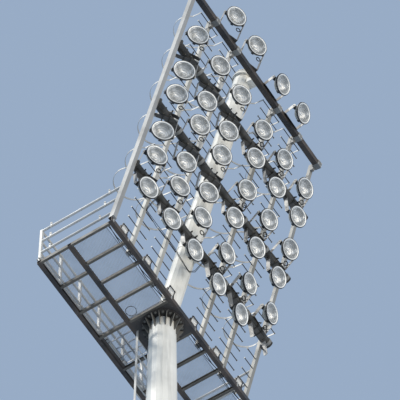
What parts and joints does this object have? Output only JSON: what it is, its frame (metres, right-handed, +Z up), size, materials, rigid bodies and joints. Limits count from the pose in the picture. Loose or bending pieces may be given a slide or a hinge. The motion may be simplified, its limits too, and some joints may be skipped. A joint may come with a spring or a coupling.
{
  "type": "stadium floodlight mast",
  "caption": "Tall tapering faceted steel mast with a railed service platform and a leaning frame of round floodlamps, hooped climbing posts and a hinged trapdoor in the platform",
  "frame": {"origin": "centre of the base flange's underside", "axes": "+Z up the mast, -Y the way the lamps face, +Y towards the platform's guard rail and trapdoor, X along the lamp rows"},
  "size_m": [4.7849, 3.6672, 39.6375],
  "materials": {
    "galvanised": "satin",
    "dark_steel": "satin",
    "grating": "matte",
    "lamp_bowl": "satin",
    "flood_case": "satin",
    "cable": "satin",
    "box_white": "satin"
  },
  "bodies": {
    "pylon": {"base_flange": "galvanised", "lower_shaft": "galvanised", "middle_shaft": "galvanised", "upper_shaft": "galvanised", "service_cover": "galvanised", "lower_ladder": "galvanised", "upper_ladder": "galvanised", "ladder_brackets": "galvanised", "top_flange": "galvanised", "flange_bolts": "dark_steel", "head_plate": "dark_steel", "pole_stub": "galvanised", "head_pole": "galvanised", "pole_cap": "galvanised", "front_beam": "dark_steel", "inner_beam": "dark_steel", "outer_beam": "dark_steel", "front_cross_beams": "dark_steel", "rear_cross_beams": "dark_steel", "front_deck": "grating", "rear_deck": "grating", "hatch_trimmer": "dark_steel", "rail_posts": "galvanised", "rear_rails": "galvanised", "end_rails": "galvanised", "toe_board": "galvanised", "rail_clamps": "galvanised", "left_edge_post": "galvanised", "right_edge_post": "galvanised", "top_beam": "dark_steel", "lower_tube": "dark_steel", "middle_tube": "dark_steel", "upper_tube": "dark_steel", "pole_saddles": "galvanised", "left_climbing_posts": "galvanised", "right_climbing_posts": "galvanised", "left_hoops": "galvanised", "right_hoops": "galvanised", "post_clamps": "galvanised", "top_yokes": "galvanised", "upper_yokes": "galvanised", "middle_yokes": "galvanised", "lower_yokes": "galvanised", "top_lamps": "lamp_bowl", "upper_lamps": "lamp_bowl", "middle_lamps": "lamp_bowl", "lower_lamps": "lamp_bowl", "lamp_leads": "cable", "small_flood_brackets": "galvanised", "small_floods": "flood_case", "supply_cables": "cable", "junction_box": "box_white"},
    "hatch": {"hatch_door": "grating"}
  },
  "joints": [
    {"name": "hatch_hinge", "type": "hinge", "parent": "pylon", "child": "hatch", "pos_m": [0, 0.9825, 31.903], "axis": [-1, 0, 0], "range_deg": [0, 90]}
  ]
}
